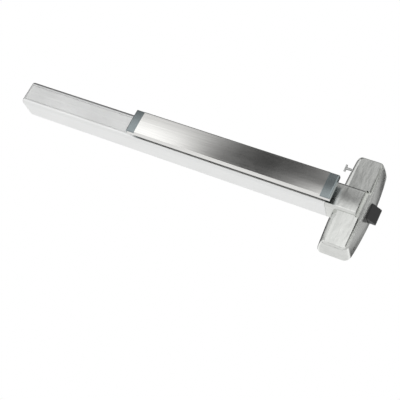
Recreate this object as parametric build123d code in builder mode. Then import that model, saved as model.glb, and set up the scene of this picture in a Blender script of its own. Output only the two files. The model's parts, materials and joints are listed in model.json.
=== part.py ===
"""Rim-type panic exit bar, 3-foot size.

X runs along the bar towards the latch head, Y runs into the door (the door face is Y = 0 and
everything stands in front of it, at negative Y), Z is up.  The origin is on the door face in the
middle of the latch head's screw pattern, at the height of the bar's centre line.
"""
import os
from math import atan, cos, degrees, radians, sin, tan

from build123d import *

os.makedirs("parts", exist_ok=True)

# ---------------------------------------------------------------- driving sizes (mm)
CASE_H = 57.15            # case height
CASE_D = 57.15            # case depth off the door
CASE_R = 7.0              # rounding of the case's front edges
WALL = 2.5                # case wall
FLOOR = 3.0               # case floor against the door
LIP_Z = 19.5              # half height of the opening between the lips

END_X = -808.0            # outer face of the hinge-side end cap
CAP_T = 3.5               # end cap thickness
HEAD_X = -46.0            # where the head cover meets the rail
SEAM = 0.3                # joint line between rail and head cover

PAD_X0 = -505.0           # hinge-side end of the pad face
PAD_X1 = -33.0            # latch-side end of the pad face
PAD_H = 55.0              # pad height
PAD_Y = -90.0             # pad face
PAD_D = 14.0              # depth of the pad's folded flange
SKIN_T = 1.2              # pad skin thickness
CROWN = 1.0               # how far the middle of the pad face stands out
CAP_CROWN = 2.0           # the same on the moulded pad end caps
PAD_CAP = 20.0            # visible length of each pad end cap
TRAVEL = 17.5             # pad stroke towards the door
THROW = 19.0              # latch bolt stroke

RIBS = 5                  # ribs in each of the two ribbed fields
RIB_FIELD = 13.6          # height of one ribbed field
RIB_DEEP = 1.0            # groove depth between ribs

# head cover outline at three depths off the door: depth, left edge, right edge, half height,
# how much the left and right sides draw in at the wing tips, and their corner roundings
HEAD_SECTIONS = (
    (0.0, -41.0, 40.5, 106.5, 5.0, 8.5, 11.0, 15.0),
    (-24.0, -34.0, 37.0, 105.0, 3.5, 5.5, 9.0, 14.0),
    (-42.0, -28.0, 33.0, 102.0, 4.0, 3.0, 8.0, 12.0),
)
FACE_Y = -50.5            # wing face next to the plateau
FACE_TIP_Y = -46.5        # wing face at the tips
FACE_X0, FACE_X1 = -18.0, 25.0   # wing face edges at mid height
FACE_TIP_L, FACE_TIP_R = 5.0, 3.5    # how much they draw in at the tips
FACE_HZ = 98.0            # half height of the wing face
PLATEAU_X = 18.0          # right-hand edge of the plateau
PLATEAU_CROWN = 0.7       # how far the middle of the plateau stands out
PLATEAU_SIDE = 4.8        # run of the plateau's steep right-hand side
SLAB_X1 = 28.9            # foot of the raised wing face's steep right side
PARTING_X = 32.2          # fine groove along the ledge beside it
SHELL = 3.0               # cover wall

BOLT_Z = 34.0             # bolt height
BOLT_Y0, BOLT_Y1 = -31.0, -9.0   # bolt front and back faces
BOLT_X0, BOLT_X1 = 6.0, 54.5     # bolt tail and tip at rest

CRANK_X = (-420.0, -150.0)       # crank pivots along the bar
PIVOT_Y = -37.25          # crank pivot off the door
BAR_ARM = 22.0            # pivot to pull bar pins
PIN_R = 2.5               # clevis pins
SLOT_GAP = 0.6            # clearance each side of a clevis pin in its slot

GUIDE_X = (-300.0, -205.0)       # pull bar guides
RAIL_SCREW_X = (-76.0, -62.0)    # screws holding the rail on the head's tongue
TAP_END = 0.6                    # case floor left under the inner screws

SCREW_X, SCREW_Z = 14.0, 92.0    # head screw pattern, half spacings
END_SCREW_X, END_SCREW_Z = -776.0, 12.0
SIDE_SCREW_Y, SIDE_SCREW_Z = -15.0, 80.0
SEAT_L, SEAT_R = -32.9, 32.6     # seats of the side screws

# ---------------------------------------------------------------- derived sizes
HALF = CASE_H / 2
PAD_ARM = BAR_ARM * TRAVEL / THROW              # pivot to pad pins, along the bar
REST = degrees(atan(TRAVEL / 2 / PAD_ARM))      # crank lean at rest
BAR_Y = PIVOT_Y + BAR_ARM                       # pull bar centre line
PIN_Y = PIVOT_Y - TRAVEL / 2                    # pad pins at rest
RAIL_X0, RAIL_X1 = END_X + CAP_T, HEAD_X - SEAM
SKIN_X0, SKIN_X1 = PAD_X0 + PAD_CAP, PAD_X1 - PAD_CAP
BAR_Z0, BAR_Z1 = 4.0, 7.0                       # pull bar thickness range


def rect(x0, x1, y0, y1, r=0.0):
    """A rectangle between two corners of the current sketch, rounded if asked."""
    with Locations(((x0 + x1) / 2, (y0 + y1) / 2)):
        if r:
            RectangleRounded(x1 - x0, y1 - y0, r)
        else:
            Rectangle(x1 - x0, y1 - y0)


def block(x0, x1, y0, y1, z0, z1, mode=Mode.ADD):
    """A box between two opposite corners."""
    with Locations(((x0 + x1) / 2, (y0 + y1) / 2, (z0 + z1) / 2)):
        return Box(x1 - x0, y1 - y0, z1 - z0, mode=mode)


def rod_x(x0, x1, y, z, r, mode=Mode.ADD):
    """A round bar along X."""
    with Locations(Location(((x0 + x1) / 2, y, z), (0, 90, 0))):
        return Cylinder(r, abs(x1 - x0), mode=mode)


def rod_y(x, y0, y1, z, r, mode=Mode.ADD):
    """A round bar along Y."""
    with Locations(Location((x, (y0 + y1) / 2, z), (90, 0, 0))):
        return Cylinder(r, abs(y1 - y0), mode=mode)


def rod_z(x, y, z0, z1, r, mode=Mode.ADD):
    """A round bar along Z."""
    with Locations((x, y, (z0 + z1) / 2)):
        return Cylinder(r, abs(z1 - z0), mode=mode)


def screw_y(x, z, seat, tip, r=2.0, head_r=3.8, head_t=2.2):
    """A pan-head screw driven towards the door, head standing on `seat`."""
    rod_y(x, seat - head_t, seat, z, head_r)
    rod_y(x, seat, tip, z, r)
    block(x - head_r * 0.7, x + head_r * 0.7, seat - head_t, seat - head_t + 0.9,
          z - 0.45, z + 0.45, mode=Mode.SUBTRACT)


def case_outline(inset=0.0, crown=0.0):
    """The case section seen along the bar: square at the door, rounded at the front.
    A crowned one falls away by that much at its rounded edges."""
    h, d = HALF - inset, CASE_D - inset
    back = FLOOR if inset else 0.0
    r = max(CASE_R - inset, 0.8)
    with BuildLine() as outline:
        Polyline((-back, -h), (-back, h), (-(d - r), h))
        RadiusArc((-(d - r), h), (-(d - crown), h - r), -r)
        if crown:
            ThreePointArc((-(d - crown), h - r), (-d, 0), (-(d - crown), -(h - r)))
        else:
            Line((-d, h - r), (-d, -(h - r)))
        RadiusArc((-(d - crown), -(h - r)), (-(d - r), -h), -r)
        Line((-(d - r), -h), (-back, -h))
    make_face(outline.edges())


def along(x):
    """A sketch plane square to the bar at x: sketch x is +Y, sketch y is +Z."""
    return Plane(origin=(x, 0, 0), x_dir=(0, 1, 0), z_dir=(1, 0, 0))


def off_door(d):
    """A sketch plane parallel to the door, d in front of it: sketch x is +X, y is +Z."""
    return Plane.XZ.offset(d)


# ================================================================ rail and its covers
with BuildPart() as rail:
    with BuildSketch(along(RAIL_X0)):
        case_outline()
    extrude(amount=RAIL_X1 - RAIL_X0)
    with BuildSketch(along(RAIL_X0)):
        case_outline(WALL)
    extrude(amount=RAIL_X1 - RAIL_X0, mode=Mode.SUBTRACT)
    block(RAIL_X0, RAIL_X1, -CASE_D - 1, -CASE_D + WALL + 1, -LIP_Z, LIP_Z, mode=Mode.SUBTRACT)
    # screw holes for the hinge-side bracket and the head's tongue
    for z in (-END_SCREW_Z, END_SCREW_Z):
        rod_y(END_SCREW_X, -FLOOR - 1, 1, z, 3.0, mode=Mode.SUBTRACT)
    # tapped holes for the screws inside the case
    inner = [(xc - 20.0, 0.0) for xc in CRANK_X] + [(x, -8.0) for x in GUIDE_X]
    for x, z in inner + [(x, 0.0) for x in RAIL_SCREW_X]:
        rod_y(x, -FLOOR - 1, -TAP_END, z, 2.0, mode=Mode.SUBTRACT)
rail.part.label = "rail"
export_step(rail.part, "parts/rail.step")

COVER_X0, COVER_X1 = RAIL_X0 + 0.3, PAD_X0 + 13.0
with BuildPart() as rail_cover:
    z1, back = LIP_Z - 1.3, WALL + 0.1
    block(COVER_X0, COVER_X1, -CASE_D, -CASE_D + back, -z1, z1)
    # hooks that snap in behind the lips
    for s in (-1, 1):
        za, zb = sorted((s * (z1 - 1.8), s * (z1 + 2.7)))
        block(COVER_X0, COVER_X1, -CASE_D + back, -CASE_D + back + 1.8, za, zb)
    # grooves between the ribs, a plain band left in the middle
    pitch = RIB_FIELD / RIBS
    for s in (-1, 1):
        for i in range(RIBS + 1):
            z = s * (z1 - 1.2 - i * pitch)
            block(COVER_X0, COVER_X1, -CASE_D - 1, -CASE_D + RIB_DEEP,
                  z - 0.6, z + 0.6, mode=Mode.SUBTRACT)
rail_cover.part.label = "rail_cover"
export_step(rail_cover.part, "parts/rail_cover.step")

with BuildPart() as end_cap:
    with BuildSketch(along(END_X)):
        case_outline()
    extrude(amount=CAP_T)
    fillet(end_cap.edges().filter_by(Plane.YZ).filter_by_position(Axis.X, END_X - 0.1, END_X + 0.1),
           3.0)
    # locating lugs that drop inside the case
    for s in (-1, 1):
        za, zb = sorted((s * 17.0, s * (HALF - WALL - 0.3)))
        block(END_X + CAP_T, END_X + CAP_T + 6.0, -40.0, -10.0, za, zb)
    for z in (-9.0, 9.0):
        rod_x(END_X - 1, END_X + CAP_T + 1, -28.0, z, 2.2, mode=Mode.SUBTRACT)
        rod_x(END_X - 1, END_X + 1.8, -28.0, z, 4.1, mode=Mode.SUBTRACT)
end_cap.part.label = "end_cap"
export_step(end_cap.part, "parts/end_cap.step")

with BuildPart() as end_bracket:
    x0 = RAIL_X0 + 0.5
    block(x0, x0 + 46.0, -FLOOR - 3.0, -FLOOR, -20.0, 20.0)
    block(x0, x0 + 3.0, -38.0, -FLOOR, -14.0, 14.0)
    for s in (-1, 1):      # stiffening gussets
        with BuildSketch(Plane.XY.offset(s * 12.5)):
            with BuildLine():
                Polyline((x0 + 3, -6), (x0 + 16, -6), (x0 + 3, -30), (x0 + 3, -6))
            make_face()
        extrude(amount=1.5, both=True)
    for z in (-END_SCREW_Z, END_SCREW_Z):
        rod_y(END_SCREW_X, -FLOOR - 4, -FLOOR + 1, z, 3.0, mode=Mode.SUBTRACT)
    for z in (-9.0, 9.0):
        rod_x(x0 - 1, x0 + 4, -28.0, z, 1.95, mode=Mode.SUBTRACT)
end_bracket.part.label = "end_bracket"
export_step(end_bracket.part, "parts/end_bracket.step")

with BuildPart() as end_cap_screws:
    for z in (-9.0, 9.0):
        rod_x(END_X, END_X + 1.8, -28.0, z, 3.9)
        rod_x(END_X + 1.8, END_X + 14.0, -28.0, z, 1.95)
        block(END_X - 0.1, END_X + 0.8, -28.0 - 2.8, -28.0 + 2.8, z - 0.45, z + 0.45,
              mode=Mode.SUBTRACT)
end_cap_screws.part.label = "end_cap_screws"
export_step(end_cap_screws.part, "parts/end_cap_screws.step")

# ================================================================ push pad
FACE_LIP = 4.6            # depth of the cap's face plate in front of the skin's flanges


def pad_outline(inset=0.0, back=0.0, crown=CROWN):
    """The pad section seen along the bar, with a slightly crowned face."""
    h, y = PAD_H / 2 - inset, PAD_Y + inset
    with BuildLine() as outline:
        ThreePointArc((y + crown, -h), (y, 0), (y + crown, h))
        Polyline((y + crown, h), (PAD_Y + PAD_D + back, h), (PAD_Y + PAD_D + back, -h),
                 (y + crown, -h))
    make_face(outline.edges())


def face_edges(part, crown=CROWN):
    """The two long edges where the pad face turns into its flanges."""
    return [e for e in part.edges().filter_by(Axis.X) if e.center().Y < PAD_Y + crown + 0.2]


with BuildPart() as pad_skin:
    h = PAD_H / 2
    with BuildSketch(along(PAD_X0)):
        pad_outline()
    extrude(amount=PAD_X1 - PAD_X0)
    fillet(face_edges(pad_skin), 2.4)
    with BuildSketch(along(PAD_X0)):
        pad_outline(SKIN_T, 1.0)
    extrude(amount=PAD_X1 - PAD_X0, mode=Mode.SUBTRACT)
    # the face stops at the caps, the flanges run on to the pad's ends
    for xa, xb in ((PAD_X0 - 1, SKIN_X0), (SKIN_X1, PAD_X1 + 1)):
        block(xa, xb, PAD_Y - 1, PAD_Y + FACE_LIP, -h - 1, h + 1, mode=Mode.SUBTRACT)
pad_skin.part.label = "pad_skin"
export_step(pad_skin.part, "parts/pad_skin.step")

WEB_Z0, WEB_Z1 = 15.0, 17.0             # push rail webs
WEB_Y1 = PIN_Y + 4.0                    # rear edge of the webs at rest
PLATE_Y0 = PAD_Y + SKIN_T + CROWN       # push rail plate behind the skin
PLATE_Y1 = PLATE_Y0 + 2.0
with BuildPart() as push_rail:
    zp = PAD_H / 2 - SKIN_T - 0.1
    block(SKIN_X0, SKIN_X1, PLATE_Y0 + 0.05, PLATE_Y1, -zp + 0.9, zp - 0.9)
    for s in (-1, 1):
        za, zb = sorted((s * WEB_Z0, s * WEB_Z1))
        block(SKIN_X0, SKIN_X1 + 3.0, PLATE_Y1 - 0.1, WEB_Y1, za, zb)
    for xc in CRANK_X:
        rod_z(xc + PAD_ARM, PIN_Y, -20, 20, PIN_R, mode=Mode.SUBTRACT)
    for x in (SKIN_X0 + 8.0, SKIN_X1 - 8.0):       # end cap screw holes
        for z in (-8.0, 8.0):
            rod_y(x, PLATE_Y0 - 1, PLATE_Y1 + 1, z, 1.5, mode=Mode.SUBTRACT)
push_rail.part.label = "push_rail"
export_step(push_rail.part, "parts/push_rail.step")


def pad_end(x_in, way, lean):
    """A pad end cap: moulded nose, hollow at the back, with a tongue under the skin."""
    h = PAD_H / 2
    x_out = x_in + way * PAD_CAP
    x_far = x_out + way * lean
    with BuildSketch(along(min(x_in, x_far))) as front:
        pad_outline(crown=CAP_CROWN)
    extrude(front.sketch, amount=PAD_CAP + lean, dir=(1, 0, 0))
    if lean:        # the nose slopes back from the face
        with BuildSketch(Plane.XY.offset(-h - 1)) as wedge:
            with BuildLine():
                Polyline((x_out, PAD_Y), (x_far, PAD_Y + PAD_D), (x_far + way, PAD_Y + PAD_D),
                         (x_far + way, PAD_Y - 1), (x_out, PAD_Y - 1), (x_out, PAD_Y))
            make_face()
        extrude(wedge.sketch, amount=PAD_H + 2, dir=(0, 0, 1), mode=Mode.SUBTRACT)


def pad_end_inside(x_in, way):
    """Steps the cap in behind its face plate, hollows it and adds the screwed tongue."""
    h, z = PAD_H / 2, PAD_H / 2 - SKIN_T - 0.1
    x_out = x_in + way * PAD_CAP
    for s in (-1, 1):
        za, zb = sorted((s * z, s * (h + 1)))
        block(min(x_in, x_out) - 9, max(x_in, x_out) + 9, PAD_Y + FACE_LIP, PAD_Y + PAD_D + 1,
              za, zb, mode=Mode.SUBTRACT)
    xa, xb = sorted((x_in + way * 2.0, x_out - way * 9.0))
    block(xa, xb, PAD_Y + FACE_LIP, PAD_Y + PAD_D + 1, -z + 2.2, z - 2.2, mode=Mode.SUBTRACT)
    xa, xb = sorted((x_in - way * 16.0, x_in + way * 2.5))
    block(xa, xb, PLATE_Y1, PLATE_Y1 + 4.0, -14.6, 14.6)
    for zs in (-8.0, 8.0):
        rod_y(x_in - way * 8.0, PLATE_Y1 - 1, PLATE_Y1 + 5, zs, 1.6, mode=Mode.SUBTRACT)


with BuildPart() as pad_cap_latch:
    pad_end(SKIN_X1, 1, 0.0)
    nose = [e for e in pad_cap_latch.edges() if abs(e.center().X - PAD_X1) < 0.1
            and e.center().Y < PAD_Y + CAP_CROWN]
    fillet(face_edges(pad_cap_latch, CAP_CROWN) + nose, 2.4)
    pad_end_inside(SKIN_X1, 1)
    for s in (-1, 1):       # the push rail's webs run on under the nose of this cap
        za, zb = sorted((s * (WEB_Z0 - 0.3), s * (WEB_Z1 + 0.3)))
        block(SKIN_X1 - 1.0, SKIN_X1 + 3.5, PLATE_Y1 - 0.4, PAD_Y + PAD_D + 1, za, zb,
              mode=Mode.SUBTRACT)
pad_cap_latch.part.label = "pad_cap_latch"
export_step(pad_cap_latch.part, "parts/pad_cap_latch.step")

with BuildPart() as pad_cap_hinge:
    pad_end(SKIN_X0, -1, 5.0)
    nose = [e for e in pad_cap_hinge.edges() if abs(e.center().X - PAD_X0) < 0.5
            and e.center().Y < PAD_Y + CAP_CROWN]
    fillet(face_edges(pad_cap_hinge, CAP_CROWN) + nose, 2.4)
    pad_end_inside(SKIN_X0, -1)
pad_cap_hinge.part.label = "pad_cap_hinge"
export_step(pad_cap_hinge.part, "parts/pad_cap_hinge.step")

with BuildPart() as pad_cap_screws:
    # driven from the back of the tongue into the push rail's plate
    for x in (SKIN_X0 + 8.0, SKIN_X1 - 8.0):
        for z in (-8.0, 8.0):
            rod_y(x, PLATE_Y0 + 0.3, PLATE_Y1 + 4.0, z, 1.5)
            rod_y(x, PLATE_Y1 + 4.0, PLATE_Y1 + 5.8, z, 3.0)
            block(x - 2.2, x + 2.2, PLATE_Y1 + 5.0, PLATE_Y1 + 6.0, z - 0.4, z + 0.4,
                  mode=Mode.SUBTRACT)
pad_cap_screws.part.label = "pad_cap_screws"
export_step(pad_cap_screws.part, "parts/pad_cap_screws.step")

with BuildPart() as pad_pins:
    for xc in CRANK_X:
        rod_z(xc + PAD_ARM, PIN_Y, -WEB_Z1, WEB_Z1, PIN_R)
        for z in (WEB_Z1, -WEB_Z1 - 1.2):
            rod_z(xc + PAD_ARM, PIN_Y, z, z + 1.2, PIN_R + 1.2)
pad_pins.part.label = "pad_pins"
export_step(pad_pins.part, "parts/pad_pins.step")

# ================================================================ bell cranks
HUB_R = 7.0
ARM_T = 6.0


def crank(xc):
    """A bell crank about Z: one slotted arm to the pad pin, one to the pull bar pin."""
    pad_far = PAD_ARM / cos(radians(REST))
    bar_far = BAR_ARM / cos(radians(REST))
    w = PIN_R + SLOT_GAP
    plane = Plane(origin=(xc, PIVOT_Y, -ARM_T / 2), x_dir=(cos(radians(REST)), -sin(radians(REST)), 0),
                  z_dir=(0, 0, 1))
    with BuildSketch(plane) as arms:
        Circle(HUB_R)
        for far, turn in ((pad_far, 0), (bar_far, 90)):
            with Locations(Rotation(0, 0, turn)):
                with Locations(((far + 1.5) / 2, 0)):
                    Rectangle(far + 1.5, 2 * w + 4.0)
            with PolarLocations(far + 1.5, 1, start_angle=turn):
                Circle(w + 2.0)
    extrude(arms.sketch, amount=ARM_T, dir=(0, 0, 1))
    with BuildSketch(plane) as slots:
        for near, far, turn in ((PAD_ARM, pad_far, 0), (BAR_ARM, bar_far, 90)):
            with PolarLocations((near + far) / 2, 1, start_angle=turn):
                SlotCenterToCenter(far - near + 2.4, 2 * w)
    extrude(slots.sketch, amount=ARM_T, dir=(0, 0, 1), mode=Mode.SUBTRACT)
    rod_z(xc, PIVOT_Y, -7.5, 7.5, HUB_R)
    rod_z(xc, PIVOT_Y, -9, 9, 3.05, mode=Mode.SUBTRACT)


with BuildPart() as crank_hinge:
    crank(CRANK_X[0])
crank_hinge.part.label = "crank_hinge"
export_step(crank_hinge.part, "parts/crank_hinge.step")

with BuildPart() as crank_latch:
    crank(CRANK_X[1])
crank_latch.part.label = "crank_latch"
export_step(crank_latch.part, "parts/crank_latch.step")

EAR_Z0, EAR_Z1 = 8.0, 10.5
FOOT_Y = -FLOOR - 2.5


def crank_bracket(xc):
    """A pressed bracket screwed to the case floor, two ears carrying the crank pivot."""
    block(xc - 26.0, xc + 14.0, FOOT_Y, -FLOOR, -EAR_Z1, EAR_Z1)
    for z0 in (EAR_Z0, -EAR_Z1):
        with BuildSketch(Plane.XY.offset(z0)) as ear:
            with BuildLine():
                Polyline((xc - 14, -FLOOR), (xc + 14, -FLOOR), (xc + 6.5, PIVOT_Y),
                         (xc - 6.5, PIVOT_Y), (xc - 14, -FLOOR))
            make_face()
            with Locations((xc, PIVOT_Y)):
                Circle(6.5)
        extrude(ear.sketch, amount=EAR_Z1 - EAR_Z0, dir=(0, 0, 1))
    rod_z(xc, PIVOT_Y, -12, 12, 3.0, mode=Mode.SUBTRACT)
    rod_y(xc - 20.0, FOOT_Y - 1, -FLOOR + 1, 0, 2.0, mode=Mode.SUBTRACT)


with BuildPart() as bracket_hinge:
    crank_bracket(CRANK_X[0])
bracket_hinge.part.label = "bracket_hinge"
export_step(bracket_hinge.part, "parts/bracket_hinge.step")

with BuildPart() as bracket_latch:
    crank_bracket(CRANK_X[1])
bracket_latch.part.label = "bracket_latch"
export_step(bracket_latch.part, "parts/bracket_latch.step")

with BuildPart() as pivot_pins:
    for xc in CRANK_X:
        rod_z(xc, PIVOT_Y, -EAR_Z1, EAR_Z1, 3.0)
        for z in (EAR_Z1, -EAR_Z1 - 1.2):
            rod_z(xc, PIVOT_Y, z, z + 1.2, 4.2)
pivot_pins.part.label = "pivot_pins"
export_step(pivot_pins.part, "parts/pivot_pins.step")

with BuildPart() as bracket_screws:
    for xc in CRANK_X:
        screw_y(xc - 20.0, 0, FOOT_Y, -TAP_END, head_t=1.8)
bracket_screws.part.label = "bracket_screws"
export_step(bracket_screws.part, "parts/bracket_screws.step")

# ================================================================ pull bar
BAR_H = 8.5
BAR_X0, BAR_X1 = CRANK_X[0] - 4.0, 20.0
BOLT_PIN_X = 14.0
bar_pin_x = [xc + BAR_ARM * tan(radians(REST)) for xc in CRANK_X]
with BuildPart() as pull_bar:
    block(BAR_X0, BAR_X1, BAR_Y - BAR_H / 2, BAR_Y + BAR_H / 2, BAR_Z0, BAR_Z1)
    fillet(pull_bar.edges().filter_by(Axis.Z), 2.0)
    for x in bar_pin_x:
        rod_z(x, BAR_Y, 0, 10, PIN_R, mode=Mode.SUBTRACT)
    # lost-motion slot, so the bolt can be pushed in without moving the pad
    with BuildSketch(Plane.XY.offset(BAR_Z0)):
        with Locations((BOLT_PIN_X - (THROW + 1.0) / 2, BAR_Y)):
            SlotCenterToCenter(THROW + 1.0, 2 * (PIN_R + 0.4))
    extrude(amount=BAR_Z1 - BAR_Z0, mode=Mode.SUBTRACT)
pull_bar.part.label = "pull_bar"
export_step(pull_bar.part, "parts/pull_bar.step")

with BuildPart() as bar_pins:
    for x in bar_pin_x:
        rod_z(x, BAR_Y, -5.0, BAR_Z1, PIN_R)
        rod_z(x, BAR_Y, -6.2, -5.0, PIN_R + 0.9)
        rod_z(x, BAR_Y, BAR_Z1, BAR_Z1 + 0.6, PIN_R + 0.8)
bar_pins.part.label = "bar_pins"
export_step(bar_pins.part, "parts/bar_pins.step")



def bar_guide(x):
    """A moulded guide block on the case floor with a channel for the pull bar."""
    block(x - 10, x + 10, -25.0, -FLOOR, -15.0, 12.0)
    block(x - 11, x + 11, BAR_Y - BAR_H / 2 - 0.4, BAR_Y + BAR_H / 2 + 0.4, BAR_Z0 - 0.4,
          BAR_Z1 + 0.4, mode=Mode.SUBTRACT)
    rod_y(x, -26, -FLOOR + 1, -8.0, 2.0, mode=Mode.SUBTRACT)
    rod_y(x, -26, -12.0, -8.0, 4.2, mode=Mode.SUBTRACT)


with BuildPart() as bar_guide_hinge:
    bar_guide(GUIDE_X[0])
bar_guide_hinge.part.label = "bar_guide_hinge"
export_step(bar_guide_hinge.part, "parts/bar_guide_hinge.step")

with BuildPart() as bar_guide_latch:
    bar_guide(GUIDE_X[1])
bar_guide_latch.part.label = "bar_guide_latch"
export_step(bar_guide_latch.part, "parts/bar_guide_latch.step")

with BuildPart() as guide_screws:
    for x in GUIDE_X:
        screw_y(x, -8.0, -12.0, -TAP_END)
guide_screws.part.label = "guide_screws"
export_step(guide_screws.part, "parts/guide_screws.step")

SPRING_X0, SPRING_X1 = GUIDE_X[0] + 10.0, GUIDE_X[0] + 48.0
SPRING_R, WIRE = 6.2, 1.2
BAR_ZC = (BAR_Z0 + BAR_Z1) / 2
with BuildPart() as spring_collar:
    block(SPRING_X1, SPRING_X1 + 6.0, BAR_Y - 7.6, BAR_Y + 7.6, BAR_ZC - 7.6, BAR_ZC + 7.6)
    fillet(spring_collar.edges().filter_by(Axis.X), 3.0)
    block(SPRING_X1 - 1, SPRING_X1 + 7.0, BAR_Y - BAR_H / 2, BAR_Y + BAR_H / 2, BAR_Z0, BAR_Z1,
          mode=Mode.SUBTRACT)
spring_collar.part.label = "spring_collar"
export_step(spring_collar.part, "parts/spring_collar.step")


def coil(x0, x1, y, z, r, wire, turns):
    """An open coil spring along X between two seats."""
    length = x1 - x0 - wire
    with BuildLine() as path:
        Helix(length / turns, length, r, center=(x0 + wire / 2, y, z), direction=(1, 0, 0))
    with BuildSketch(Plane(origin=path.line @ 0, z_dir=path.line % 0)) as section:
        Circle(wire / 2)
    sweep(section.sketch, path=path.line)


with BuildPart() as return_spring:
    coil(SPRING_X0 + 0.1, SPRING_X1 - 0.1, BAR_Y, BAR_ZC, SPRING_R, WIRE, 9)
return_spring.part.label = "return_spring"
export_step(return_spring.part, "parts/return_spring.step")

with BuildPart() as pad_bumpers:
    for x in (SKIN_X0 + 16.0, SKIN_X1 - 24.0):
        for s in (-1, 1):
            za, zb = sorted((s * (WEB_Z0 - 1.0), s * (WEB_Z1 + 1.0)))
            block(x - 6, x + 6, WEB_Y1 + TRAVEL + 0.4, -FLOOR, za, zb)
pad_bumpers.part.label = "pad_bumpers"
export_step(pad_bumpers.part, "parts/pad_bumpers.step")

# ================================================================ latch head


def bowed(left, right, hz, tip_l, tip_r):
    """A tall outline with bowed sides, drawn in by tip_l and tip_r at its ends."""
    with BuildLine() as outline:
        ThreePointArc((left + tip_l, -hz), (left, 0), (left + tip_l, hz))
        Line((left + tip_l, hz), (right - tip_r, hz))
        ThreePointArc((right - tip_r, hz), (right, 0), (right - tip_r, -hz))
        Line((right - tip_r, -hz), (left + tip_l, -hz))
    make_face(outline.edges())


def bowed_face(y, left, right, hz, tip_l, tip_r, r_l, r_r):
    """That outline at a depth off the door, its corners rounded."""
    with BuildSketch(off_door(-y)) as sk:
        bowed(left, right, hz, tip_l, tip_r)
        fillet([v for v in sk.vertices() if v.X < 0], r_l)
        fillet([v for v in sk.vertices() if v.X > 0 and v.X > right - tip_r - 0.5], r_r)
    return sk.sketch.face()


def head_face(section, inset=0.0, shift=0.0):
    y, left, right, hz, tip_l, tip_r, r_l, r_r = section
    return bowed_face(y + shift, left + inset, right - inset, hz - inset, tip_l, tip_r,
                      r_l - inset, r_r - inset)


def wing_body(inset=0.0, shift=0.0, mode=Mode.ADD):
    """The bowed body of the head; a shifted one gives the hollow inside."""
    loft([head_face(section, inset, shift) for section in HEAD_SECTIONS], mode=mode)


SLOT_Z = BOLT_Z / 2 + 0.7
TOP_Y, TOP_X0, TOP_X1, TOP_HZ = HEAD_SECTIONS[-1][:4]
TIP_L = HEAD_SECTIONS[-1][4]
SLAB_Y = FACE_Y - 1.0
with BuildPart() as wings:
    # raised wing faces: bevelled on the left, steep on the right
    loft([bowed_face(TOP_Y + 0.5, TOP_X0 + 0.8, SLAB_X1, TOP_HZ - 0.4, TIP_L, 3.5, 7.5, 8),
          bowed_face(SLAB_Y, FACE_X0, FACE_X1, FACE_HZ - 2, FACE_TIP_L, FACE_TIP_R, 6, 6)],
         ruled=True)
    # both faces lean back towards the tips
    for s in (-1, 1):
        with BuildSketch(along(TOP_X0 - 1)) as lean:
            with BuildLine():
                Polyline((FACE_Y - 2, s * 1), (FACE_Y, s * 1), (FACE_Y, s * HALF),
                         (FACE_TIP_Y, s * FACE_HZ), (FACE_TIP_Y, s * (FACE_HZ + 9)),
                         (FACE_Y - 2, s * (FACE_HZ + 9)), (FACE_Y - 2, s * 1))
            make_face()
        extrude(lean.sketch, amount=TOP_X1 - TOP_X0 + 2, dir=(1, 0, 0), mode=Mode.SUBTRACT)
    block(PLATEAU_X + 1.6, TOP_X1 + 2, FACE_Y - 3, TOP_Y + 1, -HALF - 2, HALF + 2,
          mode=Mode.SUBTRACT)
    wing_body()

with BuildPart() as parting:
    with BuildSketch(off_door(8.0)) as groove:
        with BuildLine() as curve:
            ThreePointArc((PARTING_X - 3.0, -92), (PARTING_X, 0), (PARTING_X - 3.0, 92))
            Line((PARTING_X - 3.0, 92), (PARTING_X - 4.2, 92))
            ThreePointArc((PARTING_X - 4.2, 92), (PARTING_X - 1.2, 0), (PARTING_X - 4.2, -92))
            Line((PARTING_X - 4.2, -92), (PARTING_X - 3.0, -92))
        make_face()
    extrude(groove.sketch, amount=-TOP_Y - 7.5, dir=(0, -1, 0))
    wing_body(0.5, 1.4, mode=Mode.SUBTRACT)

with BuildPart() as head_cover:
    # plateau with the case section, slightly crowned, running back to the rail
    with BuildSketch(along(HEAD_X)):
        case_outline(crown=PLATEAU_CROWN)
    extrude(amount=PLATEAU_X - HEAD_X + PLATEAU_SIDE)
    # steep right-hand side of the plateau
    with BuildSketch(Plane.XY.offset(-HALF - 1)):
        with BuildLine():
            Polyline((PLATEAU_X, -CASE_D - 1), (PLATEAU_X, -CASE_D),
                     (PLATEAU_X + PLATEAU_SIDE, TOP_Y - 0.5), (PLATEAU_X + 12, TOP_Y - 0.5),
                     (PLATEAU_X + 12, -CASE_D - 1), (PLATEAU_X, -CASE_D - 1))
        make_face()
    extrude(amount=CASE_H + 2, mode=Mode.SUBTRACT)
    add(wings.part)
    add(parting.part, mode=Mode.SUBTRACT)
    # hollow inside
    wing_body(SHELL, SHELL, mode=Mode.SUBTRACT)
    block(TOP_X0 + 10, SLAB_X1 - 7.5, FACE_TIP_Y + SHELL, TOP_Y + 5, -FACE_HZ + 4, FACE_HZ - 4,
          mode=Mode.SUBTRACT)
    with BuildSketch(along(HEAD_X - 1)):
        case_outline(SHELL)
    extrude(amount=PLATEAU_X - HEAD_X - 2.0, mode=Mode.SUBTRACT)
    block(HEAD_X - 1, -20.0, -FLOOR - 3.5, 1, -HALF + SHELL, HALF - SHELL, mode=Mode.SUBTRACT)
    # mouth for the bolt
    block(15.0, 60.0, BOLT_Y0 - 0.8, BOLT_Y1 + 0.8, -SLOT_Z, SLOT_Z, mode=Mode.SUBTRACT)
    # side screw holes
    for z in (-SIDE_SCREW_Z, SIDE_SCREW_Z):
        for s in (-1, 1):
            rod_x(s * 20, s * 45, SIDE_SCREW_Y, z, 2.1, mode=Mode.SUBTRACT)
        rod_x(SEAT_R, 45, SIDE_SCREW_Y, z, 3.0, mode=Mode.SUBTRACT)
    rod_x(-45, SEAT_L, SIDE_SCREW_Y, -SIDE_SCREW_Z, 3.0, mode=Mode.SUBTRACT)
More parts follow.
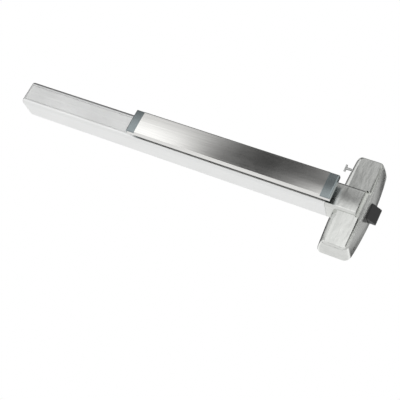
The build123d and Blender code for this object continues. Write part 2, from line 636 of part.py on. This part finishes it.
head_cover.part.label = "head_cover"
export_step(head_cover.part, "parts/head_cover.step")

CHAS_T = 3.0                            # chassis plate
HOUSE_X0, HOUSE_X1 = -20.0, 24.0        # latch housing
HOUSE_T = 2.0
HOUSE_Y = BOLT_Y0 - 0.4 - HOUSE_T       # front of the housing
HOUSE_Z = BOLT_Z / 2 + 0.4              # inner half height
FOOT_Z = HOUSE_Z + HOUSE_T + 4.6        # screws through the housing's feet
FOOT_SCREWS = [(x, z) for x in (-10.0, 14.0) for z in (-FOOT_Z, FOOT_Z)]
with BuildPart() as head_chassis:
    extrude(head_face(HEAD_SECTIONS[0], SHELL + 4.0), amount=CHAS_T, dir=(0, -1, 0))
    # the plate is trimmed to clear the end of the rail, and a raised tongue runs into it
    block(-45, RAIL_X1 + 10.6, -CHAS_T - 1, 1, -HALF, HALF, mode=Mode.SUBTRACT)
    block(-86.0, -24.0, -FLOOR - 3.0, -FLOOR, -12.0, 12.0)
    # two runners under the bolt
    for s in (-1, 1):
        za, zb = sorted((s * 10.0, s * (HOUSE_Z - 0.1)))
        block(HOUSE_X0 + 2.5, HOUSE_X1, BOLT_Y1 + 0.4, -CHAS_T, za, zb)
    # lugs for the cover's side screws
    for z in (-SIDE_SCREW_Z, SIDE_SCREW_Z):
        for s in (-1, 1):
            xa, xb = (14.0, 24.0) if s > 0 else (-21.5, -12.0)
            block(xa, xb, SIDE_SCREW_Y - 6.0, -CHAS_T, z - 5.0, z + 5.0)
            rod_x(s * 10, s * 30, SIDE_SCREW_Y, z, 2.0, mode=Mode.SUBTRACT)
    # door screws
    for x in (-SCREW_X, SCREW_X):
        for z in (-SCREW_Z, SCREW_Z):
            rod_y(x, -CHAS_T - 1, 1, z, 3.0, mode=Mode.SUBTRACT)
    for x, z in FOOT_SCREWS:
        rod_y(x, -CHAS_T - 1, 1, z, 1.6, mode=Mode.SUBTRACT)
    for x in RAIL_SCREW_X:
        rod_y(x, -FLOOR - 4, -FLOOR + 1, 0, 2.0, mode=Mode.SUBTRACT)
head_chassis.part.label = "head_chassis"
export_step(head_chassis.part, "parts/head_chassis.step")

with BuildPart() as rail_screws:
    for x in RAIL_SCREW_X:
        screw_y(x, 0, -FLOOR - 3.0, -TAP_END, head_t=1.8)
rail_screws.part.label = "rail_screws"
export_step(rail_screws.part, "parts/rail_screws.step")

with BuildPart() as latch_housing:
    zo = HOUSE_Z + HOUSE_T
    block(HOUSE_X0, HOUSE_X1, HOUSE_Y, -CHAS_T, -zo, zo)
    block(HOUSE_X0 + HOUSE_T, HOUSE_X1 + 1, HOUSE_Y + HOUSE_T, -CHAS_T + 1, -HOUSE_Z, HOUSE_Z,
          mode=Mode.SUBTRACT)
    # window in the rear wall for the pull bar
    block(HOUSE_X0 - 1, HOUSE_X0 + HOUSE_T + 1, BAR_Y - BAR_H / 2 - 1, BAR_Y + BAR_H / 2 + 1,
          BAR_Z0 - 1, BAR_Z1 + 1, mode=Mode.SUBTRACT)
    # feet
    for s in (-1, 1):
        za, zb = sorted((s * (zo - 0.1), s * (zo + 9.0)))
        block(-15.0, 19.0, -CHAS_T - 2.0, -CHAS_T, za, zb)
    for x, z in FOOT_SCREWS:
        rod_y(x, -CHAS_T - 3, -CHAS_T + 1, z, 1.6, mode=Mode.SUBTRACT)
latch_housing.part.label = "latch_housing"
export_step(latch_housing.part, "parts/latch_housing.step")

with BuildPart() as housing_screws:
    for x, z in FOOT_SCREWS:
        screw_y(x, z, -CHAS_T - 2.0, -TAP_END, r=1.6, head_r=3.0, head_t=1.8)
housing_screws.part.label = "housing_screws"
export_step(housing_screws.part, "parts/housing_screws.step")

NOSE = 17.0                             # length of the bolt's bevel
BOLT_SPRING_Y, BOLT_SPRING_Z, POCKET = -24.0, 11.0, 14.0
with BuildPart() as latch_bolt:
    with BuildSketch(Plane.XY.offset(-BOLT_Z / 2)):
        with BuildLine():
            Polyline((BOLT_X0, BOLT_Y0), (BOLT_X1 - NOSE, BOLT_Y0), (BOLT_X1, BOLT_Y1 - 5.0),
                     (BOLT_X1, BOLT_Y1), (BOLT_X0, BOLT_Y1), (BOLT_X0, BOLT_Y0))
        make_face()
    extrude(amount=BOLT_Z)
    fillet(latch_bolt.edges().filter_by(Axis.Z).group_by(Axis.X)[-1], 1.5)
    fillet(latch_bolt.edges().filter_by(Axis.X).group_by(Axis.Y)[0], 1.5)
    # slit for the pull bar, deep enough for the bolt to be pushed in on its own
    block(BOLT_X0 - 1, BOLT_X0 + 34.0, BAR_Y - BAR_H / 2 - 0.6, BOLT_Y1 + 1, BAR_Z0 - 0.5,
          BAR_Z1 + 0.5, mode=Mode.SUBTRACT)
    rod_z(BOLT_PIN_X, BAR_Y, -1.0, 13.0, PIN_R, mode=Mode.SUBTRACT)
    for s in (-1, 1):
        rod_x(BOLT_X0 - 1, BOLT_X0 + POCKET, BOLT_SPRING_Y, s * BOLT_SPRING_Z, 4.6,
              mode=Mode.SUBTRACT)
latch_bolt.part.label = "latch_bolt"
export_step(latch_bolt.part, "parts/latch_bolt.step")

with BuildPart() as bolt_pin:
    rod_z(BOLT_PIN_X, BAR_Y, -1.0, 13.0, PIN_R)
bolt_pin.part.label = "bolt_pin"
export_step(bolt_pin.part, "parts/bolt_pin.step")

with BuildPart() as bolt_springs:
    for s in (-1, 1):
        coil(HOUSE_X0 + HOUSE_T + 0.1, BOLT_X0 + POCKET - 0.1, BOLT_SPRING_Y,
             s * BOLT_SPRING_Z, 3.4, 1.0, 10)
bolt_springs.part.label = "bolt_springs"
export_step(bolt_springs.part, "parts/bolt_springs.step")

with BuildPart() as cover_screws:
    # three of the four side screws sit down in their counterbores
    for z, s, seat in ((-SIDE_SCREW_Z, 1, SEAT_R), (SIDE_SCREW_Z, 1, SEAT_R),
                       (-SIDE_SCREW_Z, -1, -SEAT_L)):
        rod_x(s * 16.0, s * seat, SIDE_SCREW_Y, z, 2.0)
        rod_x(s * seat, s * (seat + 0.8), SIDE_SCREW_Y, z, 2.8)
cover_screws.part.label = "cover_screws"
export_step(cover_screws.part, "parts/cover_screws.step")

TEE_X = 47.0
with BuildPart() as tee_screw:
    rod_x(-16.0, -TEE_X, SIDE_SCREW_Y, SIDE_SCREW_Z, 2.0)
    rod_x(SEAT_L - 3.6, -TEE_X, SIDE_SCREW_Y, SIDE_SCREW_Z, 2.8)
    block(-TEE_X - 3.0, -TEE_X, SIDE_SCREW_Y - 3.0, SIDE_SCREW_Y + 3.0, SIDE_SCREW_Z - 8.0,
          SIDE_SCREW_Z + 8.0)
    fillet(tee_screw.edges().filter_by(Axis.X).group_by(Axis.X)[0], 2.0)
tee_screw.part.label = "tee_screw"
export_step(tee_screw.part, "parts/tee_screw.step")
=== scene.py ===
"""Looks of the panic exit bar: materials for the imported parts, studio light and the camera."""
import json
from math import pi

import bpy
from mathutils import Matrix, Vector

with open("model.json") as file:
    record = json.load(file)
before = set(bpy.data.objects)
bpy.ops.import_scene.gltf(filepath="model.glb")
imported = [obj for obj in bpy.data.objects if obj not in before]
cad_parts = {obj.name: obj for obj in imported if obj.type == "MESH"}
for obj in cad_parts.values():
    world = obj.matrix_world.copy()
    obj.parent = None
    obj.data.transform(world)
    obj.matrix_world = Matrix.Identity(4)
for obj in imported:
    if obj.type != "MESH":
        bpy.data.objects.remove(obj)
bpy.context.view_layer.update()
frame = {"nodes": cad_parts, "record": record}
NODES = frame["nodes"]

# ---------------------------------------------------------------- colours (linear)
ALU = (0.90, 0.905, 0.90)
STAINLESS = (0.82, 0.815, 0.795)
CAST = (0.80, 0.81, 0.785)
SLATE = (0.30, 0.34, 0.35)
BLACK = (0.008, 0.008, 0.0085)
ZINC = (0.72, 0.73, 0.72)
STEEL = (0.48, 0.48, 0.47)
WIRE = (0.34, 0.34, 0.35)
RUBBER = (0.020, 0.020, 0.021)
NYLON = (0.74, 0.73, 0.68)


# ---------------------------------------------------------------- materials
MIX_A, MIX_B, MIX_OUT = 6, 7, 2       # colour sockets of the Mix node


class Mat:
    """A node material built step by step around one Principled shader."""

    def __init__(self, name):
        self.m = bpy.data.materials.new(name)
        self.m.use_nodes = True
        self.t = self.m.node_tree
        self.t.nodes.clear()
        self.out = self.t.nodes.new("ShaderNodeOutputMaterial")
        self.p = self.t.nodes.new("ShaderNodeBsdfPrincipled")
        self.t.links.new(self.p.outputs[0], self.out.inputs[0])
        self.coord = self.t.nodes.new("ShaderNodeTexCoord")
        self.height = None

    def n(self, kind, **values):
        """A new node with its properties set."""
        node = self.t.nodes.new(kind)
        for k, v in values.items():
            setattr(node, k, v)
        return node

    def link(self, a, b):
        self.t.links.new(a, b)

    def noise(self, scale=(1, 1, 1), size=100.0, detail=3.0, rough=0.55):
        """Noise in object space, stretched by scale."""
        mp = self.n("ShaderNodeMapping")
        mp.inputs["Scale"].default_value = scale
        self.link(self.coord.outputs["Object"], mp.inputs["Vector"])
        nz = self.n("ShaderNodeTexNoise")
        nz.inputs["Scale"].default_value = size
        nz.inputs["Detail"].default_value = detail
        nz.inputs["Roughness"].default_value = rough
        self.link(mp.outputs[0], nz.inputs["Vector"])
        return nz.outputs["Fac"]

    def ramp(self, source, low, high, a=0.3, b=0.7):
        """Map source from a..b to low..high."""
        r = self.n("ShaderNodeMapRange")
        r.inputs["From Min"].default_value = a
        r.inputs["From Max"].default_value = b
        r.inputs["To Min"].default_value = low
        r.inputs["To Max"].default_value = high
        self.link(source, r.inputs["Value"])
        return r.outputs[0]

    def tint(self, base, factor):
        """base colour multiplied by a grey factor."""
        mx = self.n("ShaderNodeMix", data_type="RGBA", blend_type="MULTIPLY")
        mx.inputs["Factor"].default_value = 1.0
        mx.inputs[MIX_A].default_value = (*base, 1)
        self.link(factor, mx.inputs[MIX_B])
        return mx.outputs[MIX_OUT]

    def add(self, a, b, kind="ADD"):
        """The sum, or another operation, of two outputs or numbers."""
        m = self.n("ShaderNodeMath", operation=kind)
        for i, v in enumerate((a, b)):
            if isinstance(v, (int, float)):
                m.inputs[i].default_value = v
            else:
                self.link(v, m.inputs[i])
        return m.outputs[0]

    def bump(self, height, distance):
        """Bump of a given depth in metres, laid over any bump already there."""
        b = self.n("ShaderNodeBump")
        b.inputs["Strength"].default_value = 1.0
        b.inputs["Distance"].default_value = distance
        self.link(height, b.inputs["Height"])
        if self.height is not None:
            self.link(self.height, b.inputs["Normal"])
        self.height = b.outputs[0]
        self.link(self.height, self.p.inputs["Normal"])

    def set(self, **values):
        """Uniform values, straight on the shader's sockets."""
        for k, v in values.items():
            self.p.inputs[k.replace("_", " ")].default_value = v


def brushed(name, colour, rough, along=(1, 1, 1), grain=900.0, depth=0.00002, spread=0.10,
            cloud=0.05, vary=0.05):
    """Metal with fine streaks along one axis, faint clouding and small roughness changes."""
    m = Mat(name)
    streak = m.noise(along, grain, 2.0, 0.6)
    streak2 = m.noise(tuple(v * 0.35 for v in along), grain, 2.0, 0.6)
    fog = m.noise((1, 1, 1), 14.0, 3.0, 0.5)
    fine = m.ramp(m.add(streak, streak2), 1.0 - spread, 1.0, 0.8, 1.2)
    soft = m.ramp(fog, 1.0 - cloud, 1.0)
    m.link(m.tint(colour, m.add(fine, soft, "MULTIPLY")), m.p.inputs["Base Color"])
    m.link(m.ramp(m.add(streak, fog), rough - vary, rough + vary, 0.8, 1.2),
           m.p.inputs["Roughness"])
    m.set(Metallic=1.0)
    m.bump(streak, depth)
    return m.m


def cast(name, colour, rough, along):
    """Satin finished casting: brushed lightly over a faint orange-peel skin."""
    m = Mat(name)
    streak = m.noise(along, 700.0, 2.0, 0.6)
    peel = m.noise((1, 1, 1), 260.0, 2.0, 0.5)
    fog = m.noise((1, 1, 1), 22.0, 4.0, 0.6)
    tone = m.add(m.ramp(streak, 0.90, 1.0), m.ramp(fog, 0.86, 1.0, 0.35, 0.65), "MULTIPLY")
    m.link(m.tint(colour, tone), m.p.inputs["Base Color"])
    m.link(m.ramp(m.add(streak, fog), rough - 0.03, rough + 0.05, 0.8, 1.2),
           m.p.inputs["Roughness"])
    m.set(Metallic=1.0)
    m.bump(m.noise((1.6, 1.6, 0.5), 60.0, 2.0, 0.5), 0.00022)
    m.bump(peel, 0.00001)
    m.bump(streak, 0.000002)
    return m.m


def moulded(name, colour, rough, grain=1400.0, depth=0.00005, spread=0.12, metal=0.0):
    """Moulded plastic or rubber with a fine grain."""
    m = Mat(name)
    g = m.noise((1, 1, 1), grain, 3.0, 0.6)
    fog = m.noise((1, 1, 1), 30.0, 3.0, 0.5)
    tone = m.add(m.ramp(g, 1.0 - spread, 1.0), m.ramp(fog, 0.92, 1.0), "MULTIPLY")
    m.link(m.tint(colour, tone), m.p.inputs["Base Color"])
    m.link(m.ramp(g, rough - 0.06, rough + 0.08), m.p.inputs["Roughness"])
    m.set(Metallic=metal)
    m.bump(g, depth)
    return m.m


ALONG_X = (0.006, 1, 1)               # streaks drawn out along X
ALONG_Z = (1, 1, 0.02)                # and along Z
MATS = {
    "case_aluminium": brushed("case_aluminium", ALU, 0.34, ALONG_X, 1500, 0.000006, 0.04, 0.02),
    "stainless_skin": brushed("stainless_skin", STAINLESS, 0.13, ALONG_X, 2600, 0.0000005,
                              0.12, 0.02, 0.012),
    "grey_plastic": moulded("grey_plastic", SLATE, 0.24, 1400, 0.00001, 0.10, 1.0),
    "cast_satin": cast("cast_satin", CAST, 0.20, ALONG_Z),
    "black_bolt": moulded("black_bolt", BLACK, 0.38, 900, 0.00004),
    "zinc_steel": brushed("zinc_steel", ZINC, 0.32, (1, 0.2, 1), 500, 0.00001, 0.10, 0.10),
    "steel": brushed("steel", STEEL, 0.28, ALONG_X, 900, 0.00001, 0.08, 0.05),
    "spring_steel": brushed("spring_steel", WIRE, 0.25, (1, 1, 1), 900, 0.00001),
    "rubber": moulded("rubber", RUBBER, 0.65, 1200, 0.00006),
    "nylon": moulded("nylon", NYLON, 0.45, 900, 0.00003, 0.06),
}
for part in frame["record"]["subparts"]:
    slots = NODES[part["node"]].data.materials
    slots.clear()
    slots.append(MATS[part["material_slot"]])


# ---------------------------------------------------------------- camera
CAM_POS = Vector((0.3662, -1.5331, -0.6414))
CAM_DIR = Vector((-0.3845, 0.8684, 0.3131)).normalized()
CAM_RIGHT = Vector((0.8682, 0.2249, 0.4423))
LENS_F = 2.06494                      # focal length over frame width
SENSOR = 36.0                         # sensor width, mm
CLIP = (0.05, 50.0)                   # nearest and farthest seen, m
cam_data = bpy.data.cameras.new("camera")
cam = bpy.data.objects.new("camera", cam_data)
bpy.context.scene.collection.objects.link(cam)
right = (CAM_RIGHT - CAM_DIR * CAM_RIGHT.dot(CAM_DIR)).normalized()
up = right.cross(CAM_DIR)
cam.matrix_world = Matrix((
    (right.x, up.x, -CAM_DIR.x, CAM_POS.x),
    (right.y, up.y, -CAM_DIR.y, CAM_POS.y),
    (right.z, up.z, -CAM_DIR.z, CAM_POS.z),
    (0, 0, 0, 1)))
cam_data.sensor_width = SENSOR
cam_data.lens = SENSOR * LENS_F
cam_data.clip_start, cam_data.clip_end = CLIP
bpy.context.scene.camera = cam


# ---------------------------------------------------------------- studio
def plain(name, colour):
    """A matt stage material with a very faint mottle."""
    m = Mat(name)
    g = m.noise((1, 1, 1), 3.0, 2.0, 0.5)
    m.link(m.tint(colour, m.ramp(g, 0.98, 1.0)), m.p.inputs["Base Color"])
    m.set(Roughness=0.9)
    return m.m


def panel(name, centre, size, facing, material, seen=False):
    """A flat stage panel facing a direction, hidden from the camera unless seen."""
    me = bpy.data.meshes.new(name)
    w, h = size[0] / 2, size[1] / 2
    me.from_pydata([(-w, -h, 0), (w, -h, 0), (w, h, 0), (-w, h, 0)], [], [(0, 1, 2, 3)])
    me.materials.append(material)
    ob = bpy.data.objects.new(name, me)
    bpy.context.scene.collection.objects.link(ob)
    ob.matrix_world = Matrix.Translation(centre) @ Vector(facing).to_track_quat(
        "Z", "Y").to_matrix().to_4x4()
    ob.visible_camera = seen
    return ob


# Brightness around the studio, as (bearing, brightness) stops. Bearings are in degrees from the
# front (-Y) towards the hinge side (-X). RIGHT and LEFT are the walls on the latch side and the
# hinge side, with dark flags between the white parts. WALLS gives one row per height (sine of
# the elevation): the ground is bright and the ceiling is dark over the hinge side and the back.
RIGHT_LOW = ((-172, 0.9), (-167, 0.06), (-156, 0.10), (-147, 0.60), (-138.5, 0.75),
             (-137, 0.04), (-112, 0.02), (-108, 0.55), (-100, 0.8))
RIGHT_HIGH = ((-172, 0.9), (-167, 0.06), (-156, 0.10), (-146, 0.50), (-130, 0.50),
              (-108, 0.62), (-100, 0.8))
LEFT_FRONT = ((26.6, 1.45), (31, 1.45), (34.5, 1.05), (46, 1.0), (50, 0.02), (92, 0.02), (97, 1.0))
LEFT_BACK = ((125, 1.15), (138, 0.05), (160, 0.05), (172, 0.9))
WALLS = (
    (-0.30, ((-180, 0.93), (180, 0.93))),
    (0.05, ((-180, 1.25), (180, 1.25))),
    (0.20, ((-180, 0.95),) + RIGHT_LOW + (
        (-25, 1.35), (14.5, 1.4), (17.5, 0.6), (19, 0.08), (24.0, 0.02), (24.8, 0.4), (25.5, 1.1))
     + LEFT_FRONT + LEFT_BACK),
    (0.28, ((-180, 0.95),) + RIGHT_LOW + (
        (-25, 1.35), (14, 1.4), (16.5, 0.50), (18, 0.20), (19.2, 0.02), (24.2, 0.01), (24.9, 0.40),
        (25.7, 1.1)) + LEFT_FRONT + LEFT_BACK),
    (0.385, ((-180, 0.9),) + RIGHT_LOW + (
        (-25, 1.2), (-8, 0.9), (-3, 0.05), (13, 0.02), (17, 0.24), (18.2, 0.14),
        (19.4, 0.02), (24.5, 0.01), (25.2, 0.28), (26.2, 0.80), (27.6, 1.2), (31, 1.15),
        (34.5, 0.85), (46, 0.85), (50, 0.02), (92, 0.02), (97, 0.9)) + LEFT_BACK),
    (0.54, ((-180, 0.6),) + RIGHT_HIGH + (
        (-25, 0.95), (14, 0.95), (17, 0.20), (19, 0.06), (24.4, 0.05), (26, 0.28), (29, 0.50),
        (48, 0.5), (52, 0.02), (92, 0.02), (97, 0.6)) + LEFT_BACK),
    (0.75, ((-180, 0.3), (-60, 0.9), (14, 1.0), (20, 0.40), (30, 0.10), (90, 0.10),
            (160, 0.10), (180, 0.3))),
)


def studio_world():
    """White to the camera, and the graded walls to everything else."""
    world = bpy.data.worlds.new("studio")
    bpy.context.scene.world = world
    world.use_nodes = True
    t = world.node_tree
    t.nodes.clear()
    coord = t.nodes.new("ShaderNodeTexCoord")
    xyz = t.nodes.new("ShaderNodeSeparateXYZ")
    t.links.new(coord.outputs["Generated"], xyz.inputs[0])

    def math(op, a, b=None):
        m = t.nodes.new("ShaderNodeMath")
        m.operation = op
        for k, v in enumerate((a, b)):
            if isinstance(v, (int, float)):
                m.inputs[k].default_value = v
            elif v is not None:
                t.links.new(v, m.inputs[k])
        return m.outputs[0]

    # bearing from -Y towards -X, then from -180..180 degrees to 0..1
    bearing = math("ARCTAN2", math("MULTIPLY", xyz.outputs[0], -1.0),
                   math("MULTIPLY", xyz.outputs[1], -1.0))
    turn = math("ADD", math("DIVIDE", bearing, 2 * pi), 0.5)
    shade = None
    for row, (height, stops) in enumerate(WALLS):
        ramp = t.nodes.new("ShaderNodeValToRGB")
        el = ramp.color_ramp.elements
        while len(el) > 1:
            el.remove(el[-1])
        for k, (deg, v) in enumerate(stops):
            e = el[0] if k == 0 else el.new((deg + 180) / 360)
            e.position = (deg + 180) / 360
            e.color = (v, v, v, 1)
        t.links.new(turn, ramp.inputs[0])
        if shade is None:
            shade = ramp.outputs[0]
            continue
        lift = t.nodes.new("ShaderNodeMapRange")
        lift.inputs["From Min"].default_value = WALLS[row - 1][0]
        lift.inputs["From Max"].default_value = height
        t.links.new(xyz.outputs[2], lift.inputs["Value"])
        mix = t.nodes.new("ShaderNodeMix")
        mix.data_type = "RGBA"
        t.links.new(lift.outputs[0], mix.inputs["Factor"])
        t.links.new(shade, mix.inputs[MIX_A])
        t.links.new(ramp.outputs[0], mix.inputs[MIX_B])
        shade = mix.outputs[MIX_OUT]
    seen = t.nodes.new("ShaderNodeLightPath")
    white = t.nodes.new("ShaderNodeMix")
    white.data_type = "RGBA"
    t.links.new(seen.outputs["Is Camera Ray"], white.inputs["Factor"])
    t.links.new(shade, white.inputs[MIX_A])
    white.inputs[MIX_B].default_value = (1, 1, 1, 1)
    bg = t.nodes.new("ShaderNodeBackground")
    t.links.new(white.outputs[MIX_OUT], bg.inputs[0])
    out = t.nodes.new("ShaderNodeOutputWorld")
    t.links.new(bg.outputs[0], out.inputs[0])


studio_world()
bpy.context.scene.view_settings.view_transform = "Standard"
bpy.context.scene.view_settings.look = "None"

FLOOR_AT, FLOOR_SIZE = (-0.3, 0, -1.2), (12, 12)
floor = panel("floor", FLOOR_AT, FLOOR_SIZE, (0, 0, 1), plain("floor", (0.93, 0.93, 0.92)),
              seen=True)
floor.visible_glossy = False          # metal mirrors the bright ground of the studio instead
# a dark card beyond the hinge-side end
CARD_AT, CARD_SIZE = (-0.98, 0.05, 0.16), (0.30, 0.40)
panel("end_card", CARD_AT, CARD_SIZE, (1, 0, 0), plain("end_card", (0.02, 0.02, 0.02)))
